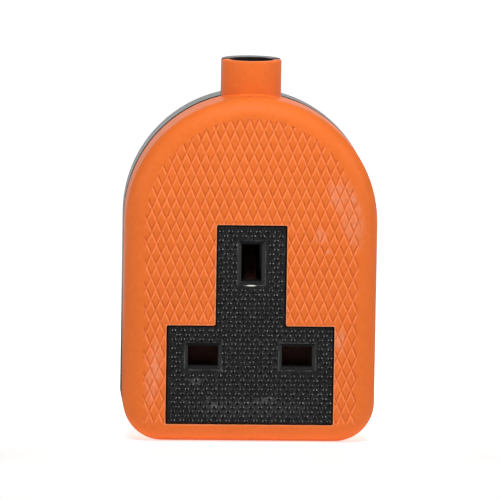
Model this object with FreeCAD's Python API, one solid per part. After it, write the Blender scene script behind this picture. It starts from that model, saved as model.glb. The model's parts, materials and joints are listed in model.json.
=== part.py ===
import FreeCAD, Part
import math
import os
from FreeCAD import Vector

# A rubber trailing socket for a three-pin 13 A plug, standing on its flat bottom edge.
# X runs to the right seen from the front, Y runs into the socket and Z runs up.
# A depth is counted from the front face backwards. The origin is the middle of the base.

# The two rubber shells
SIDE_MARGIN = 10.1          # beside the T, to the side of the shells
CORNER_R = 9.4              # bottom corners
FRONT_DEPTH = 15.5          # front face to the joint between the shells
REAR_DEPTH = 19.0           # joint between the shells to the back
WALL = 2.5                  # rubber wall, all round
FRONT_EDGE_R = 4.5          # rounding round the front face
REAR_EDGE_R = 8.5           # rounding round the back
TONGUE_W = 1.1              # tongue on the rear shell's rim
TONGUE_H = 1.5
TONGUE_PLAY = 0.1           # room round the tongue in the front shell's rebate
JOINT_LINE_W = 2.2          # shadow groove round the joint, on the rear shell
JOINT_LINE_D = 0.5

# The cord neck
NECK_R = 7.1
NECK_ABOVE_ARCH = 8.0       # how far the neck stands above the arch
NECK_BORE_R = 4.9
NECK_RIM_R = 0.5            # rounding of the neck's mouth outside
BORE_RIM_R = 0.6            # rounding of the neck's mouth inside
NECK_ROOT_R = 0.4           # fillet between the neck and the arch
NECK_SIDE = 2.6             # straight side of the neck behind the joint

# The diamonds on the front
DIAMOND_W = 2.265           # diamond pitch across
DIAMOND_H = 5.36            # diamond pitch up
DIAMOND_X = 0.15            # one diamond's centre, across and up
DIAMOND_Z = 55.5
GROOVE_D = 0.22
GROOVE_W = 0.6
FIELD_INSET = 4.6           # plain margin inside the outline
FIELD_BORDER = 0.35         # plain margin round the T window

# The T-shaped insert
T_BOTTOM_Z = 4.5            # bottom of the T above the flat bottom
T_SIDE = 5.4                # beside the live and neutral pins
T_STEM_SIDE = 6.2           # beside the earth pin
T_OVER_LINE = 5.2           # above the live and neutral pins
T_OVER_EARTH = 4.9
T_CORNER_R = 0.4
T_RECESS = 0.3              # how far the insert's face lies behind the front face
T_GAP = 0.15                # gap between the insert and its window
FLANGE_W = 1.5              # flange that backs the front wall
FLANGE_T = 2.4
SKIRT_T = 1.5               # wall round the shutter room

# Pins and apertures, to the British three-pin pattern
PIN_PITCH = 22.2            # live to neutral, and earth above both
PIN_W, PIN_H = 6.35, 3.97   # live and neutral pins
EARTH_W, EARTH_H = 3.97, 7.92
LINE_ABOVE_T = 16.1         # live and neutral pins above the bottom of the T
APERTURE_PLAY = 0.43        # room round a pin in its aperture
BEVEL_W = 0.8               # bevelled surround of an aperture
BEVEL_D = 0.6

# The shutter
SHUTTER_ROOM = 4.7          # depth of the room behind the insert's plate
RUN_PLAY = 0.3              # running clearance round the shutter
SHUTTER_LAP = 0.45          # how far the shutter laps an aperture
SHUTTER_T = 2.0
SHUTTER_BAR_H = 3.6
SHUTTER_STEM_HALF = 2.0
SHUTTER_BAR_END = 1.6       # bar beyond the middle of each blank
STOP_HALF = 1.6             # half the width of a shutter stop
RAMP_HALF = 1.35            # the ramp that the earth pin pushes
RAMP_COVER = 5.4            # how much of the earth aperture's height the ramp covers
SPRING_R = 1.75             # middle of the wire
SPRING_WIRE_R = 0.22
SPRING_TURNS = 5

# The contact carrier and what it holds
CARRIER_T = 1.8
CARRIER_INSET = 0.7         # carrier's edge inside the T's edge
CHAMBER_WALL = 1.4
LINE_CHAMBER_D = 7.8        # depth of a live or neutral chamber
EARTH_CHAMBER_D = 12.8
CHAMBER_SIDE_ROOM = 1.0     # beside a pin, across the leaves
LEAF_ROOM = 1.9             # beside a pin, for a leaf and its flare
WINDOW_PLAY = 0.35          # room round a pin in the carrier's windows
STRIP_T = 0.8               # brass strip
LEAF_GRIP = 0.1             # a leaf stands this much inside the pin's face
LEAF_FLARE = 0.8
LEAF_TIP = 1.4
STRIP_SIDE_INSET = 0.7      # strap narrower than the pin, each side
CAP_T = 1.6
CAP_OVERHANG = 1.4
TERMINAL_W = 7.0
TERMINAL_D = 7.8
LINE_TERMINAL_GAP = 3.3     # from the chamber up to its terminal
EARTH_TERMINAL_GAP = 2.4
CONDUCTOR_HOLE_R = 1.8
CONDUCTOR_HOLE_SEAT = 3.4   # its centre behind the terminal's front
PEDESTAL_MARGIN = 1.0

# Screws, rivets and inserts
SCREW_R = 1.5               # case, grip and terminal screws
SCREW_HEAD_R = 2.6
SCREW_HEAD_H = 2.0
SMALL_SCREW_R = 1.1         # carrier and cap screws
SMALL_HEAD_R = 1.9
SMALL_HEAD_H = 1.4
HEAD_BEVEL = 0.5
TIP_BEVEL = 0.4
SLOT_W = 0.7                # driver slots
SLOT_END = 0.7              # slot's end inside the head's edge
THREAD_FIT = 0.05           # between a screw and what it is threaded in
HOLE_PLAY = 0.2             # between a screw and a plain hole
HEAD_PLAY = 0.3             # round a screw's head
INSERT_R = 2.0
INSERT_L = 5.5
INSERT_SINK = 0.5           # insert below its boss's face
CASE_SCREW_L = 15.5
SCREW_TIP_SHORT = 1.0       # case screw's tip short of its insert's end
TIP_ROOM = 3.3              # blind hole beyond the insert
CASE_SCREW_FROM_T = 3.7     # lower screws outside the T's sides
CASE_SCREW_LOW_Z = 12.0
CASE_SCREW_INSET = 7.9      # upper screws inside the arch
CASE_SCREW_RISE = 20.0      # degrees above the arch's centre
CASE_BOSS_R = 2.9
BORE_WALL = 1.5             # rubber round a counterbore
RIB_T = 1.2
PILLAR_R = 2.1
PILLAR_SET = 1.4            # pillar's centre inside the skirt's inner faces
UPPER_PILLAR_RISE = 4.8     # above the T's shoulder
CARRIER_SCREW_L = 5.0
CAP_BOSS_R = 2.3
CAP_SCREW_L = 6.5
CAP_SCREW_HALF = 4.2        # above and below the pins' line
TERMINAL_SCREW_L = 4.0
RIVET_R = 0.9
RIVET_HEAD_R = 1.5
RIVET_HEAD_H = 0.6
RIVET_L = 2.6
RIVET_SET = 1.9             # rivet above the terminal's lower end
HEAD_GAP = 0.1              # between the heads of rivet and screw
TERMINAL_SCREW_SET = 2.9    # terminal screw below its upper end

# The cord grip
GRIP_R = 4.4                # cord's seat in the saddle and the bar
WIRING_ROOM = 7.94          # between the earth terminal's seat and the grip bar
GRIP_BELOW_ARCH = 9.6       # middle of the grip below the top of the arch
GRIP_BAR_H = 5.0
SADDLE_H = 4.0
GRIP_SCREW_X = 9.6
GRIP_WING_T = 2.4
GRIP_WING_END = 3.0         # wing beyond its screw
GRIP_ARCH_T = 1.8
GRIP_CORNER_R = 1.6
GRIP_LIFT = 0.5             # bosses stand this much behind the joint
GRIP_SCREW_L = 10.0

TOTAL_DEPTH = FRONT_DEPTH + REAR_DEPTH
LINE_X = PIN_PITCH / 2
LINE_Z = T_BOTTOM_Z + LINE_ABOVE_T
EARTH_Z = LINE_Z + PIN_PITCH
T_WIDE_HALF = LINE_X + PIN_W / 2 + T_SIDE
T_STEM_HALF = EARTH_W / 2 + T_STEM_SIDE
T_SHOULDER_Z = LINE_Z + PIN_H / 2 + T_OVER_LINE
T_TOP_Z = EARTH_Z + EARTH_H / 2 + T_OVER_EARTH
PLATE_BACK = WALL + FLANGE_T
CARRIER_FRONT = PLATE_BACK + SHUTTER_ROOM
CARRIER_BACK = CARRIER_FRONT + CARRIER_T
LINE_BASE = CARRIER_BACK + LINE_CHAMBER_D
EARTH_BASE = CARRIER_BACK + EARTH_CHAMBER_D
CAP_FRONT = LINE_BASE + STRIP_T
CAP_BACK = CAP_FRONT + CAP_T
REAR_INSIDE = TOTAL_DEPTH - WALL
TERMINAL_H = RIVET_SET + RIVET_HEAD_R + HEAD_GAP + SCREW_HEAD_R + TERMINAL_SCREW_SET
LINE_TERMINAL_Z = LINE_Z + PIN_H / 2 + LEAF_ROOM + CHAMBER_WALL + LINE_TERMINAL_GAP
EARTH_TERMINAL_Z = EARTH_Z + EARTH_H / 2 + CHAMBER_SIDE_ROOM + CHAMBER_WALL + EARTH_TERMINAL_GAP
GRIP_Z = EARTH_TERMINAL_Z + TERMINAL_H + PEDESTAL_MARGIN + WIRING_ROOM + GRIP_BAR_H / 2
GRIP_SEAT = FRONT_DEPTH + GRIP_LIFT
HALF_WIDTH = T_WIDE_HALF + SIDE_MARGIN          # also the radius of the arch
ARCH_TOP_Z = GRIP_Z + GRIP_BELOW_ARCH
ARCH_CENTRE_Z = ARCH_TOP_Z - HALF_WIDTH
NECK_TOP_Z = ARCH_TOP_Z + NECK_ABOVE_ARCH
CASE_HEAD_SEAT = FRONT_DEPTH - INSERT_SINK - INSERT_L + CASE_SCREW_L + SCREW_TIP_SHORT
OVER = 1.0                  # how far a cutting tool passes a face
NEAR = 1e-3                 # measures this close are the same


def y_at(depth):
    return depth - TOTAL_DEPTH / 2


def block(x0, x1, depth0, depth1, z0, z1):
    return Part.makeBox(x1 - x0, depth1 - depth0, z1 - z0, Vector(x0, y_at(depth0), z0))


def rod(radius, x, z, depth0, depth1):
    """A round bar from front to back."""
    return Part.makeCylinder(radius, depth1 - depth0, Vector(x, y_at(depth0), z), Vector(0, 1, 0))


def upright(radius, x, depth, z0, z1):
    return Part.makeCylinder(radius, z1 - z0, Vector(x, y_at(depth), z0), Vector(0, 0, 1))


def joined(first, *others):
    return first.fuse(list(others)).removeSplitter()


def edges_at_depth(shape, depth):
    y = y_at(depth)
    return [e for e in shape.Edges
            if abs(e.BoundBox.YMin - y) < NEAR and abs(e.BoundBox.YMax - y) < NEAR]


def edges_along(shape, axis):
    """Straight edges that run along an axis."""
    straight = [e for e in shape.Edges if e.Curve.TypeId == "Part::GeomLine"]
    return [e for e in straight if abs(e.tangentAt(e.FirstParameter).dot(axis)) > 1 - NEAR]


def arch_prism(inset, depth0, depth1):
    """The shells' outline, set in by a wall, between two depths."""
    half, corner = HALF_WIDTH - inset, CORNER_R - inset
    side, low, shoulder = half - corner, inset, inset + corner
    bulge = corner * (1 - math.cos(math.radians(45)))

    def at(x, z):
        return Vector(x, y_at(depth0), z)

    outline = [
        Part.LineSegment(at(-side, low), at(side, low)),
        Part.Arc(at(side, low), at(half - bulge, low + bulge), at(half, shoulder)),
        Part.LineSegment(at(half, shoulder), at(half, ARCH_CENTRE_Z)),
        Part.Arc(at(half, ARCH_CENTRE_Z), at(0, ARCH_CENTRE_Z + half), at(-half, ARCH_CENTRE_Z)),
        Part.LineSegment(at(-half, ARCH_CENTRE_Z), at(-half, shoulder)),
        Part.Arc(at(-half, shoulder), at(bulge - half, low + bulge), at(-side, low)),
    ]
    face = Part.Face(Part.Wire([piece.toShape() for piece in outline]))
    return face.extrude(Vector(0, depth1 - depth0, 0))


def t_prism(grow, depth0, depth1, corner_r=0):
    """The T outline, grown all round, between two depths."""
    wide, stem = T_WIDE_HALF + grow, T_STEM_HALF + grow
    low, shoulder, top = T_BOTTOM_Z - grow, T_SHOULDER_Z + grow, T_TOP_Z + grow
    half = [(wide, low), (wide, shoulder), (stem, shoulder), (stem, top)]
    points = half + [(-x, z) for x, z in reversed(half)]
    wire = Part.makePolygon([Vector(x, y_at(depth0), z) for x, z in points + points[:1]])
    solid = Part.Face(wire).extrude(Vector(0, depth1 - depth0, 0))
    if corner_r:
        solid = solid.makeFillet(corner_r, edges_along(solid, Vector(0, 1, 0)))
    return solid


def pins():
    """Centre, width and height of the live, neutral and earth pins."""
    return [(LINE_X, LINE_Z, PIN_W, PIN_H),
            (-LINE_X, LINE_Z, PIN_W, PIN_H),
            (0, EARTH_Z, EARTH_W, EARTH_H)]


def pin_prism(pin, room, depth0, depth1):
    x, z, width, height = pin
    half_w, half_h = width / 2 + room, height / 2 + room
    return block(x - half_w, x + half_w, depth0, depth1, z - half_h, z + half_h)


def aperture(pin):
    """A pin's hole through the insert, with its bevelled surround."""
    x, z, width, height = pin
    hole = pin_prism(pin, APERTURE_PLAY, T_RECESS - OVER, PLATE_BACK + OVER)

    def ring(room, depth):
        half_w, half_h = width / 2 + room, height / 2 + room
        corners = [(-half_w, -half_h), (half_w, -half_h), (half_w, half_h), (-half_w, half_h)]
        points = [Vector(x + dx, y_at(depth), z + dz) for dx, dz in corners]
        return Part.makePolygon(points + points[:1])

    slope = BEVEL_W / BEVEL_D
    bevel = Part.makeLoft([ring(APERTURE_PLAY + BEVEL_W + slope * OVER, T_RECESS - OVER),
                           ring(APERTURE_PLAY, T_RECESS + BEVEL_D)], True, True)
    return hole.fuse(bevel)


def case_screw_places():
    """The four screws that hold the shells together."""
    low_x = T_WIDE_HALF + CASE_SCREW_FROM_T
    reach, rise = HALF_WIDTH - CASE_SCREW_INSET, math.radians(CASE_SCREW_RISE)
    high_x, high_z = reach * math.cos(rise), ARCH_CENTRE_Z + reach * math.sin(rise)
    return [(side * x, z) for x, z in [(low_x, CASE_SCREW_LOW_Z), (high_x, high_z)] for side in (1, -1)]


def carrier_screw_places():
    low_x, low_z = T_WIDE_HALF - SKIRT_T - PILLAR_SET, T_BOTTOM_Z + SKIRT_T + PILLAR_SET
    high_x, high_z = T_STEM_HALF - SKIRT_T - PILLAR_SET, T_SHOULDER_Z + UPPER_PILLAR_RISE
    return [(side * x, z) for x, z in [(low_x, low_z), (high_x, high_z)] for side in (1, -1)]


def cap_screw_places():
    return [(0, LINE_Z - CAP_SCREW_HALF), (0, LINE_Z + CAP_SCREW_HALF)]


def grip_screw_places():
    return [(GRIP_SCREW_X, GRIP_Z), (-GRIP_SCREW_X, GRIP_Z)]


def outer_body():
    """Both shells as one solid: the arch, its rounded edges and the filleted cord neck."""
    body = arch_prism(0, 0, TOTAL_DEPTH)
    body = body.makeFillet(FRONT_EDGE_R, edges_at_depth(body, 0))
    body = body.makeFillet(REAR_EDGE_R, edges_at_depth(body, TOTAL_DEPTH))
    neck = neck_prism(NECK_R)
    rim = [e for e in neck.Edges if abs(e.BoundBox.ZMin - NECK_TOP_Z) < NEAR]
    body = body.fuse(neck.makeFillet(NECK_RIM_R, rim))

    def on_root(edge):
        middle = edge.valueAt((edge.FirstParameter + edge.LastParameter) / 2)
        from_arch = math.hypot(middle.x, middle.z - ARCH_CENTRE_Z)
        behind = middle.y - y_at(FRONT_DEPTH)
        from_neck = math.hypot(middle.x, min(behind, max(behind - NECK_SIDE, 0)))
        return abs(from_neck - NECK_R) < NEAR and abs(from_arch - HALF_WIDTH) < NEAR

    return body.makeFillet(NECK_ROOT_R, [e for e in body.Edges if on_root(e)])


def neck_prism(radius):
    """The cord neck: half round in front, straight behind the joint, then half round."""
    low = ARCH_TOP_Z - WALL
    front = upright(radius, 0, FRONT_DEPTH, low, NECK_TOP_Z)
    back = upright(radius, 0, FRONT_DEPTH + NECK_SIDE, low, NECK_TOP_Z)
    between = block(-radius, radius, FRONT_DEPTH, FRONT_DEPTH + NECK_SIDE, low, NECK_TOP_Z)
    return joined(front, between, back)


def outer_slice(depth0, depth1):
    """The part of the outer body between two depths."""
    wide = HALF_WIDTH + OVER
    return outer_body().common(block(-wide, wide, depth0, depth1, -OVER, NECK_TOP_Z + OVER))


def bore_tool():
    """The neck's bore with its rounded mouth."""
    bore = upright(NECK_BORE_R, 0, FRONT_DEPTH, ARCH_TOP_Z - WALL - OVER, NECK_TOP_Z)
    flare = upright(NECK_BORE_R + BORE_RIM_R, 0, FRONT_DEPTH, NECK_TOP_Z - BORE_RIM_R, NECK_TOP_Z + OVER)
    ring = Part.makeTorus(NECK_BORE_R + BORE_RIM_R, BORE_RIM_R,
                          Vector(0, y_at(FRONT_DEPTH), NECK_TOP_Z - BORE_RIM_R))
    return bore.fuse(flare.cut(ring))


def boss_rib(x, z, depth0, depth1):
    """A web from a case boss outwards to the side wall."""
    out = HALF_WIDTH - WALL / 2
    above = max(z - ARCH_CENTRE_Z, 0)
    x0, x1 = sorted((x, math.copysign(math.sqrt(out ** 2 - above ** 2), x)))
    return block(x0, x1, depth0, depth1, z - RIB_T / 2, z + RIB_T / 2)


def groove(x, lean, field):
    """One V groove through a point level with the diamonds' centres, kept inside the field."""
    run = math.hypot(DIAMOND_W, DIAMOND_H)
    along = Vector(lean * DIAMOND_W / run, 0, DIAMOND_H / run)
    across = Vector(along.z, 0, -along.x)
    start = Vector(x, 0, DIAMOND_Z) - along * NECK_TOP_Z
    points = []
    for half_width, depth in [(0, GROOVE_D), (GROOVE_W, -GROOVE_D), (-GROOVE_W, -GROOVE_D)]:
        place = start + across * half_width
        points.append(Vector(place.x, y_at(depth), place.z))
    cut = Part.Face(Part.makePolygon(points + points[:1])).extrude(along * (2 * NECK_TOP_Z))
    return cut.common(field).Solids


def groove_families():
    """The two leaning families of grooves that leave the diamonds standing."""
    field = arch_prism(FIELD_INSET, -OVER, OVER)
    field = field.cut(t_prism(T_GAP + FIELD_BORDER, -2 * OVER, 2 * OVER))
    reach = HALF_WIDTH + ARCH_TOP_Z * DIAMOND_W / DIAMOND_H
    count = math.ceil(reach / DIAMOND_W)
    families = []
    for lean in (1, -1):
        places = [DIAMOND_X + DIAMOND_W / 2 + step * DIAMOND_W for step in range(-count, count)]
        families.append([piece for x in places for piece in groove(x, lean, field)])
    return families


def front_room(play):
    """The hollow of the front shell, smaller all round by a play."""
    room = arch_prism(WALL + play, WALL, FRONT_DEPTH + OVER)
    return room.makeFillet(FRONT_EDGE_R - WALL, edges_at_depth(room, WALL))


def front_cover():
    shell = outer_slice(-OVER, FRONT_DEPTH).cut(front_room(0))
    bosses = [rod(CASE_BOSS_R, x, z, WALL - OVER, FRONT_DEPTH) for x, z in case_screw_places()]
    ribs = [boss_rib(x, z, WALL - OVER, FRONT_DEPTH - TONGUE_H - OVER) for x, z in case_screw_places()]
    posts = [rod(CASE_BOSS_R, x, z, WALL - OVER, GRIP_SEAT) for x, z in grip_screw_places()]
    saddle = block(-GRIP_SCREW_X, GRIP_SCREW_X, WALL - OVER, FRONT_DEPTH - OVER,
                   GRIP_Z - SADDLE_H / 2, GRIP_Z + SADDLE_H / 2)
    shell = joined(shell, *bosses, *ribs, *posts, saddle)
    rebate_floor = FRONT_DEPTH - TONGUE_H - TONGUE_PLAY
    rebate = arch_prism(WALL - TONGUE_W - TONGUE_PLAY, rebate_floor, FRONT_DEPTH + OVER)
    kept = arch_prism(WALL, rebate_floor - OVER, FRONT_DEPTH + 2 * OVER)
    cord_seat = upright(GRIP_R, 0, FRONT_DEPTH, GRIP_Z - SADDLE_H, GRIP_Z + SADDLE_H)
    tip_room = FRONT_DEPTH - INSERT_SINK - INSERT_L - TIP_ROOM
    holes = [rod(SCREW_R + HOLE_PLAY, x, z, tip_room, FRONT_DEPTH + OVER) for x, z in case_screw_places()]
    holes += [rod(SCREW_R + HOLE_PLAY, x, z, GRIP_SEAT - GRIP_SCREW_L, GRIP_SEAT + OVER)
              for x, z in grip_screw_places()]
    seats = [insert_seat(x, z, FRONT_DEPTH) for x, z in case_screw_places()]
    seats += [insert_seat(x, z, GRIP_SEAT) for x, z in grip_screw_places()]
    window = t_prism(T_GAP, -OVER, WALL + OVER, T_CORNER_R)
    shell = shell.cut([rebate.cut(kept), cord_seat, bore_tool(), window] + holes + seats)
    for family in groove_families():
        shell = shell.cut(family)
    return shell


def insert_seat(x, z, boss_face):
    return rod(INSERT_R, x, z, boss_face - INSERT_SINK - INSERT_L, boss_face + OVER)


def rear_cover():
    outside = outer_slice(FRONT_DEPTH, TOTAL_DEPTH + OVER)
    room = arch_prism(WALL, FRONT_DEPTH - OVER, REAR_INSIDE)
    room = room.makeFillet(REAR_EDGE_R - WALL, edges_at_depth(room, REAR_INSIDE))
    shell = outside.cut(room)
    tongue = arch_prism(WALL - TONGUE_W, FRONT_DEPTH - TONGUE_H, FRONT_DEPTH + OVER)
    tongue = tongue.cut(arch_prism(WALL, FRONT_DEPTH - TONGUE_H - OVER, FRONT_DEPTH + 2 * OVER))
    wide_r = SCREW_HEAD_R + HEAD_PLAY + BORE_WALL
    head_floor = CASE_HEAD_SEAT - BORE_WALL
    bosses = []
    for x, z in case_screw_places():
        bosses += [rod(CASE_BOSS_R, x, z, FRONT_DEPTH, TOTAL_DEPTH).common(outside),
                   rod(wide_r, x, z, head_floor, TOTAL_DEPTH).common(outside)]
    posts = [rod(PILLAR_R, side * LINE_X, LINE_Z, CAP_BACK, REAR_INSIDE + OVER) for side in (1, -1)]
    shell = joined(shell, tongue, *bosses, *posts)
    holes = []
    for x, z in case_screw_places():
        holes += [rod(SCREW_R + HOLE_PLAY, x, z, FRONT_DEPTH - OVER, TOTAL_DEPTH),
                  rod(SCREW_HEAD_R + HEAD_PLAY, x, z, CASE_HEAD_SEAT, TOTAL_DEPTH + OVER)]
    line = arch_prism(-OVER, FRONT_DEPTH - OVER, FRONT_DEPTH + JOINT_LINE_W)
    line = line.cut(arch_prism(JOINT_LINE_D, FRONT_DEPTH - 2 * OVER, TOTAL_DEPTH))
    return shell.cut([line.cut(neck_prism(NECK_R + NECK_ROOT_R)), bore_tool()] + holes)


def socket_body():
    """The black insert: T face, flange, skirt round the shutter room and pillars."""
    face = t_prism(0, T_RECESS, WALL, T_CORNER_R)
    flange = t_prism(FLANGE_W, WALL, PLATE_BACK).common(front_room(T_GAP))
    flange = flange.cut([rod(CASE_BOSS_R + T_GAP, x, z, 0, FRONT_DEPTH) for x, z in case_screw_places()])
    skirt = t_prism(0, PLATE_BACK, CARRIER_FRONT).cut(t_prism(-SKIRT_T, 0, TOTAL_DEPTH))
    pillars = [rod(PILLAR_R, x, z, PLATE_BACK, CARRIER_FRONT) for x, z in carrier_screw_places()]
    guide_in = SHUTTER_STEM_HALF + RUN_PLAY
    guide_out = T_STEM_HALF - SKIRT_T - PILLAR_SET
    guide_top = T_SHOULDER_Z + UPPER_PILLAR_RISE
    guide_back = PLATE_BACK + RUN_PLAY + SHUTTER_T
    stop_z = LINE_Z + PIN_H / 2 + APERTURE_PLAY + SHUTTER_LAP + RUN_PLAY
    guides, stops = [], []
    for side in (1, -1):
        x0, x1 = sorted((side * guide_in, side * guide_out))
        guides.append(block(x0, x1, PLATE_BACK, guide_back, T_SHOULDER_Z, guide_top))
        x0, x1 = side * LINE_X - STOP_HALF, side * LINE_X + STOP_HALF
        stops.append(block(x0, x1, PLATE_BACK, guide_back, stop_z, T_SHOULDER_Z - SKIRT_T / 2))
    body = joined(face, flange, skirt, *pillars, *guides, *stops)
    body = body.common(t_prism(0, 0, TOTAL_DEPTH).fuse(flange))
    hole_floor = CARRIER_BACK - CARRIER_SCREW_L
    screw_holes = [rod(SMALL_SCREW_R + THREAD_FIT, x, z, hole_floor, CARRIER_FRONT + OVER)
                   for x, z in carrier_screw_places()]
    return body.cut([aperture(pin) for pin in pins()] + screw_holes)


def shutter():
    """Two blanking blocks on a bar, with a stem up to the ramp that the earth pin pushes down."""
    front = PLATE_BACK + RUN_PLAY
    back = CARRIER_FRONT - RUN_PLAY
    lap = APERTURE_PLAY + SHUTTER_LAP
    block_low = LINE_Z - PIN_H / 2 - lap
    bar_low = shutter_bottom()
    blanks = [pin_prism(pin, lap, front, front + SHUTTER_T) for pin in pins()[:2]]
    bar_half = LINE_X + SHUTTER_BAR_END
    bar = block(-bar_half, bar_half, front, front + SHUTTER_T, bar_low, block_low + RUN_PLAY)
    seat_half = SPRING_R + SHUTTER_T / 2
    spring_seat = block(-seat_half, seat_half, front, back, bar_low, bar_low + SHUTTER_BAR_H)
    ramp_low = EARTH_Z - EARTH_H / 2 - APERTURE_PLAY
    ramp_top = ramp_low + RAMP_COVER
    stem = block(-SHUTTER_STEM_HALF, SHUTTER_STEM_HALF, front, front + SHUTTER_T, bar_low, ramp_low)
    foot = ramp_low - SHUTTER_BAR_H
    side = [(front, foot), (front, ramp_low), (back, ramp_top), (back, foot)]
    points = [Vector(-RAMP_HALF, y_at(depth), z) for depth, z in side]
    ramp = Part.Face(Part.makePolygon(points + points[:1])).extrude(Vector(2 * RAMP_HALF, 0, 0))
    crown = rod(RAMP_HALF, 0, ramp_top - RAMP_HALF, front, back)
    crown = crown.fuse(block(-RAMP_HALF, RAMP_HALF, front, back, foot, ramp_top - RAMP_HALF))
    return joined(blanks[0], blanks[1], bar, spring_seat, stem, ramp.common(crown))


def shutter_bottom():
    return LINE_Z - PIN_H / 2 - APERTURE_PLAY - SHUTTER_LAP + RUN_PLAY - SHUTTER_BAR_H


def shutter_spring():
    """The return spring, between the skirt's floor and the shutter's bar."""
    low, high = T_BOTTOM_Z + SKIRT_T, shutter_bottom()
    height = high - low - 2 * SPRING_WIRE_R
    helix = Part.makeHelix(height / SPRING_TURNS, height, SPRING_R)
    ring = Part.makeCircle(SPRING_WIRE_R, Vector(SPRING_R, 0, 0), Vector(0, 1, 0))
    coil = Part.Wire(helix).makePipeShell([Part.Wire(ring)], True, True)
    coil.translate(Vector(0, y_at((PLATE_BACK + CARRIER_FRONT) / 2), low + SPRING_WIRE_R))
    return coil


def chamber_size(pin, earth):
    """Half width and half height of a pin's chamber inside."""
    across, up = pin[2] / 2, pin[3] / 2
    if earth:
        return across + LEAF_ROOM, up + CHAMBER_SIDE_ROOM
    return across + CHAMBER_SIDE_ROOM, up + LEAF_ROOM


def chamber(pin, earth, wall, depth0, depth1):
    half_w, half_h = chamber_size(pin, earth)
    x, z = pin[0], pin[1]
    return block(x - half_w - wall, x + half_w + wall, depth0, depth1, z - half_h - wall, z + half_h + wall)


def terminal_places():
    """Centre, front depth and lower end of the live, neutral and earth terminals."""
    line_front = LINE_BASE - TERMINAL_D
    return [(LINE_X, line_front, LINE_TERMINAL_Z), (-LINE_X, line_front, LINE_TERMINAL_Z),
            (0, EARTH_BASE - TERMINAL_D, EARTH_TERMINAL_Z)]


def contact_carrier():
    """The moulding that holds the contacts, with a chamber behind each pin."""
    low = T_BOTTOM_Z + CARRIER_INSET
    wide = T_WIDE_HALF - CARRIER_INSET
    line_top = LINE_TERMINAL_Z + TERMINAL_H + PEDESTAL_MARGIN
    earth_top = EARTH_TERMINAL_Z + TERMINAL_H + PEDESTAL_MARGIN
    stem = T_STEM_HALF - CARRIER_INSET
    plate = joined(block(-wide, wide, CARRIER_FRONT, CARRIER_BACK, low, line_top),
                   block(-stem, stem, CARRIER_FRONT, CARRIER_BACK, low, earth_top))
    line_pins, earth_pin = pins()[:2], pins()[2]
    walls = [chamber(pin, False, CHAMBER_WALL, CARRIER_BACK, LINE_BASE) for pin in line_pins]
    walls.append(chamber(earth_pin, True, CHAMBER_WALL, CARRIER_BACK, EARTH_BASE))
    half_pad = TERMINAL_W / 2 + PEDESTAL_MARGIN
    pads = [block(x - half_pad, x + half_pad, CARRIER_BACK - OVER, front, z - PEDESTAL_MARGIN,
                  z + TERMINAL_H + PEDESTAL_MARGIN) for x, front, z in terminal_places()]
    cap_bosses = [rod(CAP_BOSS_R, x, z, CARRIER_BACK, CAP_FRONT) for x, z in cap_screw_places()]
    body = joined(plate, *walls, *pads, *cap_bosses)
    rooms = [chamber(pin, False, 0, CARRIER_BACK, LINE_BASE + OVER) for pin in line_pins]
    rooms.append(chamber(earth_pin, True, 0, CARRIER_BACK, EARTH_BASE + OVER))
    windows = [pin_prism(pin, WINDOW_PLAY, CARRIER_FRONT - OVER, CARRIER_BACK + OVER) for pin in pins()]
    holes = [rod(SMALL_SCREW_R + HOLE_PLAY, x, z, CARRIER_FRONT - OVER, CARRIER_BACK + OVER)
             for x, z in carrier_screw_places()]
    holes += [rod(SMALL_SCREW_R + THREAD_FIT, x, z, CAP_BACK - CAP_SCREW_L - OVER, CAP_FRONT + OVER)
              for x, z in cap_screw_places()]
    return body.cut(rooms + windows + holes)


def leaf_pair(pin, earth, base):
    """A pair of springy leaves that grip a pin, bent from one strip."""
    x, z, width, height = pin
    half_pin = (width if earth else height) / 2
    leaf_half = (height if earth else width) / 2 - STRIP_SIDE_INSET / 2
    grip = half_pin - LEAF_GRIP + STRIP_T / 2
    tip = CARRIER_BACK + RUN_PLAY + STRIP_T / 2
    back = base + STRIP_T / 2
    side = [(tip, grip + LEAF_FLARE), (tip + LEAF_TIP, grip), (back, grip + LEAF_FLARE / 2)]
    path = side + [(depth, -out) for depth, out in reversed(side)]
    wire = Part.makePolygon([Vector(0, y_at(depth), out) for depth, out in path])
    strip = wire.makeOffset2D(STRIP_T / 2, 2, True, False, False).extrude(Vector(2 * leaf_half, 0, 0))
    strip.translate(Vector(-leaf_half, 0, 0))
    if earth:
        strip.rotate(Vector(0, 0, 0), Vector(0, 1, 0), 90)
    strip.translate(Vector(x, 0, z))
    return strip


def contact_clip(pin, earth, base, terminal_z):
    """Leaves for one pin and the strap up to its terminal."""
    x, z, width = pin[:3]
    room_w, room_h = chamber_size(pin, earth)
    half_w = room_w if earth else width / 2 - STRIP_SIDE_INSET
    low = z - room_h - CHAMBER_WALL
    strap = block(x - half_w, x + half_w, base, base + STRIP_T, low, terminal_z + TERMINAL_H)
    strap = strap.makeFillet(STRIP_T, edges_along(strap, Vector(0, 1, 0)))
    clip = joined(leaf_pair(pin, earth, base), strap)
    screw_z = terminal_z + TERMINAL_H - TERMINAL_SCREW_SET
    behind = base + STRIP_T + OVER
    return clip.cut([rod(SCREW_R + HOLE_PLAY, x, screw_z, base - OVER, behind),
                     rod(RIVET_R, x, terminal_z + RIVET_SET, base - OVER, behind)])


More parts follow.
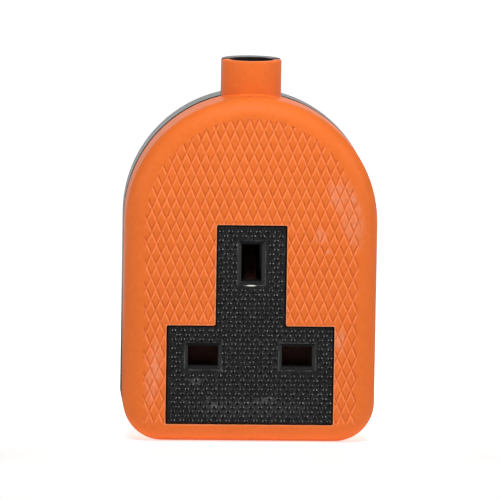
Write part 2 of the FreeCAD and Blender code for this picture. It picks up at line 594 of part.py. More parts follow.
def terminal(x, front, z):
    """A brass pillar terminal with its conductor hole and the holes for screw and rivet."""
    half = TERMINAL_W / 2
    body = block(x - half, x + half, front, front + TERMINAL_D, z, z + TERMINAL_H)
    body = body.makeChamfer(STRIP_T / 2, edges_along(body, Vector(0, 0, 1)))
    top, back = z + TERMINAL_H, front + TERMINAL_D
    seat = front + CONDUCTOR_HOLE_SEAT
    conductor = upright(CONDUCTOR_HOLE_R, x, seat, top - 2 * TERMINAL_SCREW_SET, top + OVER)
    screw_hole = rod(SCREW_R + THREAD_FIT, x, top - TERMINAL_SCREW_SET, seat, back + OVER)
    rivet_hole = rod(RIVET_R, x, z + RIVET_SET, back + STRIP_T - RIVET_L, back + OVER)
    return body.cut([conductor, screw_hole, rivet_hole])


def screw(x, z, seat, length, shank_r, head_r, head_h, slots):
    """A screw driven from behind, its bevelled head on the seat."""
    shank = rod(shank_r, x, z, seat - length, seat)
    shank = shank.makeChamfer(TIP_BEVEL, edges_at_depth(shank, seat - length))
    head = rod(head_r, x, z, seat, seat + head_h)
    head = head.makeChamfer(HEAD_BEVEL, edges_at_depth(head, seat + head_h))
    long, short = head_r - SLOT_END, SLOT_W / 2
    floor, above = seat + head_h / 2, seat + head_h + OVER
    tools = [block(x - long, x + long, floor, above, z - short, z + short),
             block(x - short, x + short, floor, above, z - long, z + long)]
    return joined(shank, head).cut(tools[:slots])


def case_screws():
    return [screw(x, z, CASE_HEAD_SEAT, CASE_SCREW_L, SCREW_R, SCREW_HEAD_R, SCREW_HEAD_H, 2)
            for x, z in case_screw_places()]


def carrier_screws():
    return [screw(x, z, CARRIER_BACK, CARRIER_SCREW_L, SMALL_SCREW_R, SMALL_HEAD_R, SMALL_HEAD_H, 2)
            for x, z in carrier_screw_places()]


def cap_screws():
    return [screw(x, z, CAP_BACK, CAP_SCREW_L, SMALL_SCREW_R, SMALL_HEAD_R, SMALL_HEAD_H, 2)
            for x, z in cap_screw_places()]


def terminal_screws():
    return [screw(x, z + TERMINAL_H - TERMINAL_SCREW_SET, front + TERMINAL_D + STRIP_T, TERMINAL_SCREW_L,
                  SCREW_R, SCREW_HEAD_R, SCREW_HEAD_H, 1) for x, front, z in terminal_places()]


def clip_rivets():
    rivets = []
    for x, front, z in terminal_places():
        seat = front + TERMINAL_D + STRIP_T
        head = rod(RIVET_HEAD_R, x, z + RIVET_SET, seat, seat + RIVET_HEAD_H)
        head = head.makeChamfer(RIVET_HEAD_H / 2, edges_at_depth(head, seat + RIVET_HEAD_H))
        rivets.append(joined(head, rod(RIVET_R, x, z + RIVET_SET, seat - RIVET_L, seat)))
    return rivets


def insert(x, z, boss_face):
    """A brass threaded insert, sunk in its boss."""
    back = boss_face - INSERT_SINK
    body = rod(INSERT_R, x, z, back - INSERT_L, back)
    rims = edges_at_depth(body, back) + edges_at_depth(body, back - INSERT_L)
    body = body.makeChamfer(INSERT_SINK / 2, rims)
    return body.cut(rod(SCREW_R + THREAD_FIT, x, z, back - INSERT_L - OVER, back + OVER))


def case_inserts():
    return [insert(x, z, FRONT_DEPTH) for x, z in case_screw_places()]


def cord_grip_inserts():
    return [insert(x, z, GRIP_SEAT) for x, z in grip_screw_places()]


def contact_cap():
    """The plate that covers the live and neutral contacts from behind."""
    half_w, half_h = chamber_size(pins()[0], False)
    wide = LINE_X + half_w + CHAMBER_WALL
    tall = half_h + CHAMBER_WALL + CAP_OVERHANG
    plate = block(-wide, wide, CAP_FRONT, CAP_BACK, LINE_Z - tall, LINE_Z + tall)
    plate = plate.makeFillet(CAP_T, edges_along(plate, Vector(0, 1, 0)))
    return plate.cut([rod(SMALL_SCREW_R + HOLE_PLAY, x, z, CAP_FRONT - OVER, CAP_BACK + OVER)
                      for x, z in cap_screw_places()])


def cord_grip_bar():
    """The bar that clamps the cord down on the saddle."""
    low, high = GRIP_Z - GRIP_BAR_H / 2, GRIP_Z + GRIP_BAR_H / 2
    end = GRIP_SCREW_X + GRIP_WING_END
    wings = block(-end, end, GRIP_SEAT, GRIP_SEAT + GRIP_WING_T, low, high)
    wings = wings.makeFillet(GRIP_CORNER_R, edges_along(wings, Vector(0, 1, 0)))
    arch = upright(GRIP_R + GRIP_ARCH_T, 0, FRONT_DEPTH, low, high)
    arch = arch.common(block(-NECK_R, NECK_R, GRIP_SEAT, TOTAL_DEPTH, low, high))
    bar = joined(wings, arch)
    holes = [rod(SCREW_R + HOLE_PLAY, x, z, GRIP_SEAT - OVER, GRIP_SEAT + GRIP_WING_T + OVER)
             for x, z in grip_screw_places()]
    return bar.cut([upright(GRIP_R, 0, FRONT_DEPTH, low - OVER, high + OVER)] + holes)


def cord_grip_screws():
    return [screw(x, z, GRIP_SEAT + GRIP_WING_T, GRIP_SCREW_L, SCREW_R, SCREW_HEAD_R, SCREW_HEAD_H, 1)
            for x, z in grip_screw_places()]


def build():
    """Every node by its name; a list of solids is a set of like pieces."""
    live, neutral, earth = pins()
    terminals = [terminal(*place) for place in terminal_places()]
    return {
        "front_cover": [front_cover()],
        "rear_cover": [rear_cover()],
        "socket_body": [socket_body()],
        "shutter": [shutter()],
        "shutter_spring": [shutter_spring()],
        "contact_carrier": [contact_carrier()],
        "contact_cap": [contact_cap()],
        "live_clip": [contact_clip(live, False, LINE_BASE, LINE_TERMINAL_Z)],
        "neutral_clip": [contact_clip(neutral, False, LINE_BASE, LINE_TERMINAL_Z)],
        "earth_clip": [contact_clip(earth, True, EARTH_BASE, EARTH_TERMINAL_Z)],
        "live_terminal": [terminals[0]],
        "neutral_terminal": [terminals[1]],
        "earth_terminal": [terminals[2]],
        "terminal_screws": terminal_screws(),
        "clip_rivets": clip_rivets(),
        "carrier_screws": carrier_screws(),
        "cap_screws": cap_screws(),
        "cord_grip_bar": [cord_grip_bar()],
        "cord_grip_screws": cord_grip_screws(),
        "cord_grip_inserts": cord_grip_inserts(),
        "case_screws": case_screws(),
        "case_inserts": case_inserts(),
    }


os.makedirs("parts", exist_ok=True)
for name, solids in build().items():
    shape = solids[0] if len(solids) == 1 else Part.makeCompound(solids)
    shape.exportStep("parts/" + name + ".step")
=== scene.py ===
import functools
import json
import math

import bpy
from mathutils import Matrix, Vector


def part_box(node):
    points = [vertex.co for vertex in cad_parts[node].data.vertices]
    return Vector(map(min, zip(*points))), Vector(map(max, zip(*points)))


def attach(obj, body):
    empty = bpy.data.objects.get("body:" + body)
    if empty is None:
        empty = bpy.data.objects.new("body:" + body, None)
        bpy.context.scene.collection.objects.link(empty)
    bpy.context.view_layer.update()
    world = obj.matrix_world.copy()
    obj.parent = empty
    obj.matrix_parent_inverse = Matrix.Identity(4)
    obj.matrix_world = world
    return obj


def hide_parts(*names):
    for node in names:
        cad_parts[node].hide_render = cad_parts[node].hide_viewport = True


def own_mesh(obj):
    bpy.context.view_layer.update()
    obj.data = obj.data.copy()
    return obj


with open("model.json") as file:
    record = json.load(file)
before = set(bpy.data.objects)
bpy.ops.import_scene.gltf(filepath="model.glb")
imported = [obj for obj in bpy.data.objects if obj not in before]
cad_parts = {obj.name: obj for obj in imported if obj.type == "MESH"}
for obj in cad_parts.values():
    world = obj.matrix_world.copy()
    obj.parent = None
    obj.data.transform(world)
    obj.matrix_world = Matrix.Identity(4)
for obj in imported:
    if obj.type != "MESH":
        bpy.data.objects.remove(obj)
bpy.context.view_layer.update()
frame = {"nodes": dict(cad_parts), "record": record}

MM = 0.001

# The camera's place and framing follow the photograph, a square of 500 pixels.
VIEW_TARGET = Vector((0, -2.25, 45)) * MM
VIEW_DISTANCE = 1.5
VIEW_AZIMUTH = -2.95
VIEW_ELEVATION = 7.2
VIEW_ROLL = 0.93
VIEW_END = 20                   # metres from the camera to the farthest thing it sees
PIXELS_PER_MM = 4.21
FRAME_PIXELS = 500
OFF_CENTRE = (-1.25, -3.95)     # pixels from the frame's centre to the target, right and down
SENSOR = 36.0

# Softboxes: place, width and height in metres, power in watts, and whether they show in gloss
SOFTBOXES = {
    "softbox_left": ((-0.78, -0.5, 0.3), 0.14, 0.22, 0.245, True),
    "softbox_right": ((0.82, -0.46, 0.36), 0.14, 0.22, 0.345, True),
    "softbox_top": ((0, -0.12, 0.26), 0.2, 0.1, 0.107, False),
}
SOFTBOX_AIM = (0, 0, 0.045)
SOFTBOX_SPREAD = 70             # degrees, as with a grid
WORLD_STRENGTH = 0.07

# Floor and sweep, in metres
SWEEP_FROM_Y = 0.2              # behind the object, where the floor goes over into the sweep
STAGE_SIZE = 8
SWEEP_HEIGHT = 4
SWEEP_BEND = 1.5
SWEEP_BEND_SEGMENTS = 24

# How brightly floor and sweep glow at places from front to back, in millimetres
GLOW = [
    (-1500, 0.8),
    (-700, 0.6),
    (-400, 0.45),
    (-180, 0.52),
    (-95, 0.56),
    (-26, 0.25),
    (-8, 0.7),
    (10, 0.95),
    (60, 0.95),
    (2000, 1.0),
]

# The T face and its pips, in millimetres
T_BOTTOM_Z = 4.5
T_WIDE_HALF = 19.675
T_STEM_HALF = 8.185
T_SHOULDER_Z = 27.785
T_TOP_Z = 51.66
T_FACE_DEPTH = 0.3              # the T face behind the front face
T_GAP_SHADE = 0.28                    # width of the painted shade line where the T meets the rubber
T_LIP_HIGHLIGHT = 0.3                     # width of the painted highlight on the rubber's edge round the T
BEVEL_REACH = 1.0               # an aperture's bevel beyond the pin it takes
RIM_W = 0.12                    # wear on each side of a bevel's outer rim
PIP_PITCH = 2.168
PIP_ROW = 1.072
PIP_R = 0.48
PIP_H = 0.17
PIP_X = 1.477                   # one pip of the lowest row
PIP_LOW_Z = 5.1
PIP_EDGE = 0.1                  # pip's rim inside the T's edge
PIP_SEGMENTS = 12
PIP_RINGS = 4

# The diamonds on the front cover, in millimetres
DIAMOND_W = 2.265
DIAMOND_H = 5.36
DIAMOND_X = 0.15
DIAMOND_Z = 55.5
FIELD_HALF = 25.175             # half the field's width, and the radius of its arch
FIELD_LOW_Z = 4.6
FIELD_FADE = 0.6                # over this width the diamonds' finish fades out
ARCH_CENTRE_Z = 51.825
FRONT_Y = -17.25
FRONT_SKIN = 0.5                # how far behind the front face its finish reaches

# The neck's bore, and how far back from the joint between the shells the black rubber carries painted shade,
# in millimetres
BORE_Y = -1.75
BORE_R = 4.9
BORE_REACH = 0.15               # the bore's painted shade beyond its wall
JOINT_SHADE_Y = 0.45

# The shutter's spring
WELD = 0.001                    # millimetres between points that are merged
SPRING_CREASE = 40              # degrees from which an edge stays sharp

# Pale scuffs on the front: centre across and up, half width and half height, turn in degrees
SMEARS = [
    (23.2, 54.5, 2.6, 7.5, 12),
    (20.2, 58.6, 2.0, 3.6, 20),
    (16.3, 49.4, 1.6, 1.7, 0),
    (18.0, 45.7, 0.7, 0.6, 0),
    (-22.7, 16.2, 1.6, 7.0, -6),
    (21.2, 24.5, 1.2, 2.6, 8),
]

# Scratches and scuffs on the T: centre, half width and half height, turn in degrees
SCRATCHES = [
    (-9.7, 10.6, 0.3, 1.3, -35),
    (-12.6, 14.6, 1.2, 0.7, 0),
    (-8.4, 8.8, 1.5, 0.7, 0),
    (3.5, 10.2, 2.4, 0.6, 10),
]
HAZE = (0.5, 8.3, 12, 2.2, 0)
GLINT = (0, 37.45, 1.1, 0.16, 0)     # a painted highlight on the lower rim of the earth pin's aperture

# Sockets of the Mix node for colours
MIX_AMOUNT, MIX_LOW, MIX_HIGH, MIX_RESULT = 0, 6, 7, 2


def tone(red, green, blue):
    """A shader colour from a colour as seen, 0 to 255."""
    def linear(value):
        value /= 255
        return value / 12.92 if value <= 0.04045 else ((value + 0.055) / 1.055) ** 2.4
    return (linear(red), linear(green), linear(blue), 1)


ORANGE = tone(222, 105, 38)
ORANGE_CLOUD = tone(231, 113, 45)
ORANGE_MOTTLE = tone(245, 126, 60)
# Painted highlight and painted shade for the diamonds' upper and lower edges
ORANGE_UPPER_EDGE_HIGHLIGHT = tone(250, 148, 92)
ORANGE_LOWER_EDGE_SHADE = tone(178, 72, 26)
ORANGE_SCUFF = tone(230, 178, 156)
# Painted highlight on the rubber's edge round the T's hole
ORANGE_LIP_HIGHLIGHT = tone(255, 190, 150)
RUBBER_DARK = tone(33, 33, 34)
RUBBER_LIGHT = tone(45, 45, 46)
# Painted shade for the bore and for the rubber by the joint between the shells
RUBBER_SHADED = tone(12, 7, 6)
T_DARK = tone(15, 15, 16)
T_LIGHT = tone(34, 34, 36)
# Painted light on the apertures' side bevel faces
T_BEVEL_SIDE_PAINTED_LIGHT = tone(44, 46, 46)
# Pale colour for the T's painted glints and for its real wear
T_WEAR_AND_GLINT = tone(130, 130, 132)
# Painted highlight on the lower rim of the earth pin's aperture
T_GLINT = tone(225, 225, 218)
# Painted shade for the line round the T
T_GAP_SHADE_COLOUR = tone(16, 2, 0)
PIP_DARK = tone(8, 8, 9)
PIP_LIGHT = tone(16, 16, 17)
STUDIO_DARK = tone(244, 244, 244)
STUDIO_LIGHT = tone(250, 250, 250)


def joined(operation, swapped=False):
    """A method that joins a wire and another value with a Math node."""
    def method(self, other):
        terms = (other, self) if swapped else (self, other)
        return self.finish.result(operation, *terms)
    return method


class Wire:
    """A value between shader nodes, written into sums like a number."""

    def __init__(self, finish, socket):
        self.finish = finish
        self.socket = socket

    __add__ = joined("ADD")
    __radd__ = joined("ADD", swapped=True)
    __sub__ = joined("SUBTRACT")
    __rsub__ = joined("SUBTRACT", swapped=True)
    __mul__ = joined("MULTIPLY")
    __rmul__ = joined("MULTIPLY", swapped=True)
    __truediv__ = joined("DIVIDE")
    at_least = joined("MAXIMUM")
    at_most = joined("MINIMUM")

    def __abs__(self):
        return self.finish.result("ABSOLUTE", self)


class Finish:
    """A procedural surface finish in the making."""

    def __init__(self, name, **constants):
        self.material = bpy.data.materials.new(name)
        self.material.use_nodes = True
        self.tree = self.material.node_tree
        self.shader = self.tree.nodes["Principled BSDF"]
        for socket, value in constants.items():
            self.shader.inputs[socket.replace("_", " ")].default_value = value
        place = self.node("TexCoord", output="Object")
        self.place = self.node("VectorMath", {"operation": "SCALE"}, {0: place, "Scale": 1 / MM})
        self.x, self.y, self.z = [self.node("SeparateXYZ", {}, {0: self.place}, axis) for axis in "XYZ"]

    def node(self, kind, settings=None, inputs=None, output=0):
        """Adds a node: its settings first, then the values or links of its sockets."""
        node = self.tree.nodes.new("ShaderNode" + kind)
        for key, value in (settings or {}).items():
            if key == "stops":
                self.set_stops(node.color_ramp, value)
            else:
                setattr(node, key, value)
        for key, value in (inputs or {}).items():
            if isinstance(value, Wire):
                self.tree.links.new(value.socket, node.inputs[key])
            else:
                node.inputs[key].default_value = value
        return Wire(self, node.outputs[output])

    @staticmethod
    def set_stops(ramp, stops):
        while len(ramp.elements) < len(stops):
            ramp.elements.new(1)
        for element, (position, value) in zip(ramp.elements, stops):
            element.position = position
            element.color = (value, value, value, 1)

    def result(self, operation, *terms):
        """What a Math node makes of its terms."""
        return self.node("Math", {"operation": operation}, dict(enumerate(terms)))

    @staticmethod
    def least(*wires):
        return functools.reduce(Wire.at_most, wires)

    @staticmethod
    def most(*wires):
        return functools.reduce(Wire.at_least, wires)

    def distance(self, across, along):
        return self.result("SQRT", across * across + along * along)

    def reach(self, x, z, half_w, half_h, turn=0):
        """Distance from an ellipse's centre on the front, 1 at its rim."""
        cos, sin = math.cos(math.radians(turn)), math.sin(math.radians(turn))
        across = ((self.x - x) * cos + (self.z - z) * sin) / half_w
        along = ((self.z - z) * cos - (self.x - x) * sin) / half_h
        return self.distance(across, along)

    def below(self, value, limit, soft):
        """1 where a value is below a limit, fading to 0 over a soft width."""
        inputs = {"Value": value, "From Min": limit - soft / 2, "From Max": limit + soft / 2,
                  "To Min": 1.0, "To Max": 0.0}
        return self.node("MapRange", {"interpolation_type": "SMOOTHSTEP"}, inputs)

    def above(self, value, limit, soft):
        """1 where a value is above a limit, fading to 0 over a soft width."""
        return 1 - self.below(value, limit, soft)

    def ramp(self, value, *stops):
        return self.node("ValToRGB", {"stops": stops}, {0: value})

    def noise(self, per_mm, detail=2, roughness=0.5, stretch=None):
        """Noise with so many spots per millimetre, drawn out along an axis whose stretch is below 1."""
        place = self.node("Mapping", {}, {"Vector": self.place, "Scale": stretch}) if stretch else self.place
        inputs = {"Vector": place, "Scale": per_mm, "Detail": detail, "Roughness": roughness}
        return self.node("TexNoise", {}, inputs)

    def colours(self, amount, low, high):
        """A mix of two colours, the first at amount 0 and the second at 1."""
        inputs = {MIX_AMOUNT: amount, MIX_LOW: low, MIX_HIGH: high}
        return self.node("Mix", {"data_type": "RGBA"}, inputs, MIX_RESULT)

    def feed(self, socket, wire):
        self.tree.links.new(wire.socket, self.shader.inputs[socket])

    def bump(self, height, distance, strength):
        """Relief of a height from 0 to 1 over a distance in millimetres."""
        inputs = {"Height": height, "Distance": distance * MM, "Strength": strength}
        self.feed("Normal", self.node("Bump", {}, inputs))


def on_front(made):
    """1 on the front face, 0 behind it."""
    return made.below(made.y, FRONT_Y + FRONT_SKIN, 0.2)


def diamond_edges(made):
    """How far a place is from its diamond's upper and lower edges, from 0 on them to 0.5."""
    across = (made.x - DIAMOND_X) / DIAMOND_W - 0.5
    up = (made.z - DIAMOND_Z) / DIAMOND_H
    left, right = [made.result("FRACT", line) for line in (across - up, across + up)]
    return made.least(left, 1 - right), made.least(1 - left, right)


def field_mask(made):
    """1 on the diamonds of the front, 0 elsewhere."""
    from_centre = made.distance(made.x, (made.z - ARCH_CENTRE_Z).at_least(0))
    inside = made.below(from_centre, FIELD_HALF, FIELD_FADE) * made.above(made.z, FIELD_LOW_Z, FIELD_FADE)
    return inside * on_front(made)


def inside_t(made):
    """How far inside the T's outline a place is, in millimetres, below 0 outside."""
    across = abs(made.x)
    wide = made.least(T_WIDE_HALF - across, T_SHOULDER_Z - made.z)
    stem = made.least(T_STEM_HALF - across, T_TOP_Z - made.z)
    return made.least(wide.at_least(stem), made.z - T_BOTTOM_Z)


def aperture_marks(made):
    """1 on the bevels round the apertures, on their side faces, and on their outer rims, 0 elsewhere."""
    bevels, sides, rims = [], [], []
    for x, z, half_w, half_h in apertures():
        beside, over = abs(made.x - x) - half_w, abs(made.z - z) - half_h
        outside = beside.at_least(over)
        bevels.append(made.below(outside, 0, 0.15))
        sides.append(bevels[-1] * made.below(over - beside, 0, 0.1))
        rims.append(made.below(abs(outside), RIM_W, 0.12))
    return [made.most(*masks) for masks in (bevels, sides, rims)]


def orange_rubber():
    """Moulded orange rubber: fine grain, faint mottling and pale scuffs.

    The diamonds' upper edges carry a painted highlight and their lower ones a painted shade, and the rubber
    round the T's hole carries a painted highlight.
    """
    made = Finish("orange_rubber", IOR=1.5, Specular_IOR_Level=0.17)
    grain = made.noise(5.5, 3, 0.6)
    cloudy = made.noise(0.09)
    mottle = made.noise(0.9, 3, 0.6)
    base = made.colours(cloudy, ORANGE, ORANGE_CLOUD)
    base = made.colours(made.ramp(mottle, (0.35, 0), (0.75, 0.25)), base, ORANGE_MOTTLE)

    field = field_mask(made)
    upper, lower = diamond_edges(made)
    tops = made.ramp(made.least(upper, lower), (0.1, 0), (0.24, 1))
    # Painted highlight on the diamonds' upper edges and painted shade on their lower edges, as if lit from
    # above
    upper_edge_highlight = field * made.ramp(upper, (0, 0.1), (0.05, 0.52), (0.13, 0.52), (0.24, 0))
    base = made.colours(upper_edge_highlight, base, ORANGE_UPPER_EDGE_HIGHLIGHT)
    lower_edge_shade = field * made.ramp(lower, (0, 0.14), (0.1, 0.16), (0.24, 0))
    base = made.colours(lower_edge_shade, base, ORANGE_LOWER_EDGE_SHADE)

    streaks = made.noise(1.6, 4, 0.75, stretch=(1.6, 1, 0.35))
    worn = made.ramp(streaks, (0.47, 0), (0.66, 1))
    smeared = made.most(*[made.below(made.reach(*smear), 1, 0.9) for smear in SMEARS])
    pale = smeared * (0.25 + 0.75 * worn) * (0.45 + 0.55 * tops)
    base = made.colours(0.5 * pale, base, ORANGE_SCUFF)

    # Painted highlight: a pale band on the rubber's edge round the T's hole
    lip_highlight = on_front(made) * made.above(inside_t(made), -T_LIP_HIGHLIGHT, 0.2)
    base = made.colours(0.3 * lip_highlight, base, ORANGE_LIP_HIGHLIGHT)
    made.feed("Base Color", base)
    made.feed("Roughness", 0.42 + 0.12 * mottle + 0.15 * pale)
    made.bump(0.3 * field * tops + 0.12 * grain, 0.16, 0.65)
    return made.material


def black_rubber():
    """Moulded black rubber: fine grain and faint mottling, with painted shade and a duller finish in the
    bore and by the joint.
    """
    made = Finish("black_rubber", IOR=1.5, Specular_IOR_Level=0.5)
    grain = made.noise(5.0, 3, 0.6)
    mottle = made.noise(0.7, 3, 0.6)
    bore = made.below(made.distance(made.x, made.y - BORE_Y), BORE_R + BORE_REACH, 0.2)
    # Painted shade: the bore and the rubber just behind the joint are darkened where shade falls
    shaded = made.most(bore, made.below(made.y, JOINT_SHADE_Y, 0.3))
    base = made.colours(mottle, RUBBER_DARK, RUBBER_LIGHT)
    made.feed("Base Color", made.colours(shaded, base, RUBBER_SHADED))
    made.feed("Roughness", 0.3 + 0.14 * mottle + 0.5 * shaded)
    made.bump(grain, 0.03, 0.5)
    return made.material


def black_plastic():
    """Hard black moulding: a speckled face with painted glints, scratches and haze; bevels whose side faces
    carry painted light, with worn rims; a painted highlight on the earth aperture's lower rim; and a painted
    shade line round the T.
    """
    made = Finish("black_plastic", IOR=1.5, Specular_IOR_Level=0.35)
    bevels, sides, rims = aperture_marks(made)
    plain = 1 - bevels
    speckle = made.noise(3.4, 3, 0.75)
    base = made.colours(made.ramp(speckle, (0.4, 0), (0.62, 1)), T_DARK, T_LIGHT)
    # Painted glints: pale specks in the face's colour stand in for specular glints
    glints = plain * made.ramp(made.noise(2.9, 2, 0.8), (0.6, 0), (0.66, 1))
    base = made.colours(0.4 * glints, base, T_WEAR_AND_GLINT)
    # Painted light: the bevels' side faces, turned towards the side softboxes, are made lighter
    base = made.colours(sides, base, T_BEVEL_SIDE_PAINTED_LIGHT)

    haze = 0.05 * made.below(made.reach(*HAZE), 1, 1)
    scratched = made.most(*[made.below(made.reach(*scratch), 1, 1) for scratch in SCRATCHES])
    scored = scratched * made.ramp(made.noise(4.4, 3, 0.8), (0.45, 0.05), (0.6, 0.45))
    worn = rims * made.ramp(made.noise(0.8, 3, 0.7), (0.42, 0), (0.64, 0.35))
    base = made.colours(made.most(haze, scored, worn), base, T_WEAR_AND_GLINT)

    # Painted highlight: a pale glint on the lower rim of the earth pin's aperture
    base = made.colours(made.below(made.reach(*GLINT), 1, 0.8), base, T_GLINT)
    # Painted shade: a dark reddish line round the T where the rubber's edge shades the recessed face
    gap_shade = made.below(abs(inside_t(made)), T_GAP_SHADE, 0.16)
    base = made.colours(gap_shade, base, T_GAP_SHADE_COLOUR)
    made.feed("Base Color", base)
    made.feed("Roughness", 0.5 + plain * 0.15 * speckle)
    made.bump(plain * speckle, 0.05, 0.6)
    return made.material


def pip_black():
    """The glossy black of the small pips."""
    made = Finish("pip_black", IOR=1.5, Specular_IOR_Level=1.0, Coat_Weight=0.25, Coat_Roughness=0.12)
    wear = made.noise(1.5, 2, 0.6)
    made.feed("Base Color", made.colours(wear, PIP_DARK, PIP_LIGHT))
    made.feed("Roughness", made.ramp(wear, (0.3, 0.12), (0.7, 0.22)))
    return made.material


def plain_plastic(name, dark, light, roughness, gloss=0.5):
    """Moulded plastic with faint mottling and fine grain."""
    made = Finish(name, IOR=1.5, Specular_IOR_Level=gloss)
    mottle = made.noise(0.8, 3, 0.6)
    made.feed("Base Color", made.colours(mottle, dark, light))
    made.feed("Roughness", roughness + 0.15 * mottle)
    made.bump(made.noise(6), 0.02, 0.4)
    return made.material


def metal(name, dark, light, roughness):
    """Rolled, turned or plated metal with fine lines and a faint stain."""
    made = Finish(name, Metallic=1.0)
    stain = made.noise(0.5, 3, 0.6)
    lines = made.noise(7, 2, 0.6, stretch=(1, 1, 0.1))
    made.feed("Base Color", made.colours(stain, dark, light))
    made.feed("Roughness", roughness + 0.2 * lines)
    made.bump(lines, 0.01, 0.4)
    return made.material


def studio_white():
    """Floor and sweep: they glow by themselves, least close in front of the object."""
    made = Finish("studio_white", Emission_Strength=1.0)
    front, back = GLOW[0][0], GLOW[-1][0]
    along = made.node("MapRange", {}, {"Value": made.y, "From Min": front, "From Max": back})
    stops = [((y - front) / (back - front), glow) for y, glow in GLOW]
    made.feed("Emission Color", made.ramp(along, *stops))
    made.feed("Base Color", made.colours(made.noise(0.004, 1), STUDIO_DARK, STUDIO_LIGHT))
    made.feed("Roughness", 0.8 + 0.1 * made.noise(0.01, 1))
    return made.material


def select_only(*pieces):
    """Selects these pieces and nothing else, and makes the first one active."""
    bpy.ops.object.select_all(action="DESELECT")
    for piece in pieces:
        piece.select_set(True)
    if pieces:
        bpy.context.view_layer.objects.active = pieces[0]


def settle(piece):
    """Puts a piece's place into its mesh, with its object at the origin."""
    piece.data.transform(piece.matrix_world)
    piece.matrix_world = Matrix.Identity(4)


def apertures():
    """Centre, half width and half height of each pin's aperture with its bevel, in millimetres."""
    boxes = []
    for pin in frame["record"]["physics"]["openings"][:3]:
        low, high = [Vector(corner) / MM for corner in pin["box_m"]]
        middle, half = (low + high) / 2, (high - low) / 2
        boxes.append((middle.x, middle.z, half.x + BEVEL_REACH, half.z + BEVEL_REACH))
    return boxes


def pip_places():
    """Staggered rows over the T face, clear of its edges and of the apertures."""
    places = []
    keep = PIP_R + PIP_EDGE
    holes = apertures()
    rows = math.ceil((T_TOP_Z - PIP_LOW_Z) / PIP_ROW)
    columns = math.ceil(T_WIDE_HALF / PIP_PITCH)
    for row in range(rows):
        z = PIP_LOW_Z + row * PIP_ROW
        half = T_WIDE_HALF if z + keep < T_SHOULDER_Z else T_STEM_HALF
        shift = PIP_PITCH / 2 if row % 2 else 0
        for column in range(-columns - 1, columns + 1):
            x = PIP_X + column * PIP_PITCH + shift
            on_face = abs(x) <= half - keep and z <= T_TOP_Z - keep
            in_hole = any(abs(x - hole_x) < half_w + PIP_R and abs(z - hole_z) < half_h + PIP_R
                          for hole_x, hole_z, half_w, half_h in holes)
            if on_face and not in_hole:
                places.append((x, z))
    return places


def one_pip(ball_r):
    """The cap of a sphere, with the sphere's centre at the origin."""
    cap_angle = math.asin(PIP_R / ball_r)
    select_only()
    bpy.ops.mesh.primitive_uv_sphere_add(
        segments=PIP_SEGMENTS, ring_count=round(PIP_RINGS * math.pi / cap_angle), radius=ball_r * MM,
        rotation=(math.radians(90), 0, 0))
    pip = bpy.context.object
    settle(pip)
    bpy.ops.object.mode_set(mode="EDIT")
    bpy.ops.mesh.select_all(action="SELECT")
    bpy.ops.mesh.bisect(plane_co=(0, (PIP_H - ball_r) * MM, 0), plane_no=(0, 1, 0), clear_outer=True)
    bpy.ops.object.mode_set(mode="OBJECT")
    bpy.ops.object.shade_smooth()
    return pip


def face_pips():
    """Small glossy domes on the T face, as one piece."""
    ball_r = (PIP_R ** 2 + PIP_H ** 2) / (2 * PIP_H)
    pip = one_pip(ball_r)
    face_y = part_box("front_cover")[0].y + T_FACE_DEPTH * MM
    centre_y = face_y + (ball_r - PIP_H) * MM
    copies = []
    for x, z in pip_places():
        copy = pip.copy()
        copy.data = pip.data.copy()
        copy.data.transform(Matrix.Translation((x * MM, centre_y, z * MM)))
        bpy.context.collection.objects.link(copy)
        copies.append(copy)
    bpy.data.objects.remove(pip)
    select_only(*copies)
    bpy.ops.object.join()
    pips = bpy.context.object
    pips.name = "face_pips"
    pips.data.materials.clear()
    pips.data.materials.append(pip_black())
    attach(pips, "housing")


def return_spring():
    """The shutter's spring, as a piece of its own."""
    node = frame["nodes"]["shutter_spring"]
    spring = node.copy()
    spring.data = node.data.copy()
    spring.name = "return_spring"
    spring.parent = None
    bpy.context.collection.objects.link(spring)
    select_only(spring)
    bpy.ops.object.mode_set(mode="EDIT")
    bpy.ops.mesh.select_all(action="SELECT")
    bpy.ops.mesh.remove_doubles(threshold=WELD * MM)
    bpy.ops.object.mode_set(mode="OBJECT")
    bpy.ops.object.shade_smooth_by_angle(angle=math.radians(SPRING_CREASE))
    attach(spring, "housing")
    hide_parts("shutter_spring")
    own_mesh(spring)


def dress_nodes():
    """Gives every CAD node the finish of its material slot."""
    finishes = {
        "orange_rubber": orange_rubber(),
        "black_rubber": black_rubber(),
        "black_plastic": black_plastic(),
        "red_plastic": plain_plastic("red_plastic", tone(50, 25, 20), tone(64, 34, 27), 0.6, 0.15),
        "grey_plastic": plain_plastic("grey_plastic", tone(100, 100, 102), tone(118, 118, 120), 0.45),
        "brass": metal("brass", tone(118, 92, 50), tone(152, 122, 70), 0.35),
        "zinc_steel": metal("zinc_steel", tone(168, 170, 172), tone(205, 206, 204), 0.25),
        "spring_steel": metal("spring_steel", tone(150, 152, 155), tone(190, 192, 194), 0.2),
    }
    for part in frame["record"]["subparts"]:
        node = frame["nodes"][part["node"]]
        for index in range(len(node.material_slots)):
            node.material_slots[index].material = finishes[part["material_slot"]]


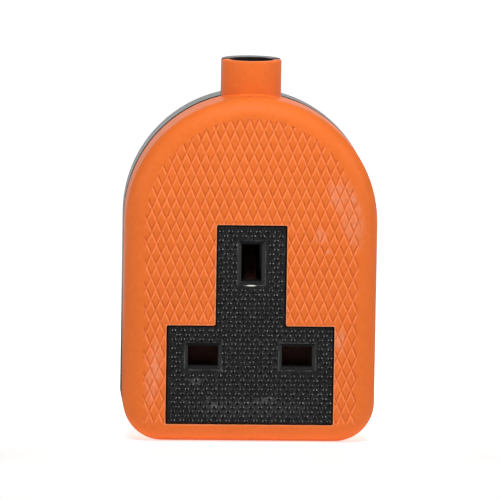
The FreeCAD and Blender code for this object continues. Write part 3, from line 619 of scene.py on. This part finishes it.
def set_camera():
    azimuth, elevation = math.radians(VIEW_AZIMUTH), math.radians(VIEW_ELEVATION)
    back = Vector((math.sin(azimuth) * math.cos(elevation),
                   -math.cos(azimuth) * math.cos(elevation),
                   math.sin(elevation)))
    roll = Matrix.Rotation(math.radians(VIEW_ROLL), 3, "Z")
    turn = (-back).to_track_quat("-Z", "Y").to_matrix() @ roll
    right, up = turn.col[0], turn.col[1]
    off_right, off_down = [pixels / PIXELS_PER_MM * MM for pixels in OFF_CENTRE]
    aim = VIEW_TARGET - right * off_right + up * off_down
    data = bpy.data.cameras.new("camera")
    data.sensor_width = SENSOR
    data.lens = PIXELS_PER_MM / MM * VIEW_DISTANCE / FRAME_PIXELS * SENSOR
    data.clip_end = VIEW_END
    camera = bpy.data.objects.new("camera", data)
    camera.matrix_world = Matrix.Translation(aim + back * VIEW_DISTANCE) @ turn.to_4x4()
    bpy.context.collection.objects.link(camera)
    bpy.context.scene.camera = camera


def softbox(name, place, width, height, power, in_gloss):
    data = bpy.data.lights.new(name, "AREA")
    data.shape = "RECTANGLE"
    data.size = width
    data.size_y = height
    data.energy = power
    data.spread = math.radians(SOFTBOX_SPREAD)
    lamp = bpy.data.objects.new(name, data)
    lamp.visible_glossy = in_gloss
    turn = (Vector(SOFTBOX_AIM) - Vector(place)).to_track_quat("-Z", "Y")
    lamp.matrix_world = Matrix.Translation(place) @ turn.to_matrix().to_4x4()
    bpy.context.collection.objects.link(lamp)


def stage_plane(name, middle_y):
    """A square plane on the ground."""
    select_only()
    bpy.ops.mesh.primitive_plane_add(size=STAGE_SIZE, location=(0, middle_y, 0))
    plane = bpy.context.object
    plane.name = name
    settle(plane)
    return plane


def raise_back_edge(plane):
    """Extrudes a plane's back edge upwards and rounds the corner this makes."""
    bpy.ops.object.mode_set(mode="EDIT")
    bpy.ops.mesh.select_all(action="DESELECT")
    bpy.ops.object.mode_set(mode="OBJECT")
    vertices = plane.data.vertices
    for edge in plane.data.edges:
        edge.select = all(vertices[index].co.y > SWEEP_FROM_Y + STAGE_SIZE / 2 for index in edge.vertices)
    bpy.ops.object.mode_set(mode="EDIT")
    bpy.ops.mesh.select_mode(type="EDGE")
    bpy.ops.mesh.extrude_region_move(TRANSFORM_OT_translate={"value": (0, 0, SWEEP_HEIGHT)})
    bpy.ops.object.mode_set(mode="OBJECT")
    bend = plane.modifiers.new("bend", "BEVEL")
    bend.width = SWEEP_BEND
    bend.segments = SWEEP_BEND_SEGMENTS
    select_only(plane)
    bpy.ops.object.modifier_apply(modifier=bend.name)
    bpy.ops.object.shade_smooth()


def set_studio():
    """A pale floor and sweep, two softboxes in front at the sides and one above."""
    white = studio_white()
    floor = stage_plane("floor", SWEEP_FROM_Y - STAGE_SIZE / 2)
    floor.data.materials.append(white)
    floor.visible_glossy = False
    sweep = stage_plane("sweep", SWEEP_FROM_Y + STAGE_SIZE / 2)
    raise_back_edge(sweep)
    sweep.data.materials.append(white)
    for name, settings in SOFTBOXES.items():
        softbox(name, *settings)
    world = bpy.data.worlds.new("studio")
    world.use_nodes = True
    background = world.node_tree.nodes["Background"]
    background.inputs["Color"].default_value = (1, 1, 1, 1)
    background.inputs["Strength"].default_value = WORLD_STRENGTH
    bpy.context.scene.world = world
    bpy.context.scene.view_settings.view_transform = "Standard"


set_camera()
dress_nodes()
face_pips()
return_spring()
set_studio()
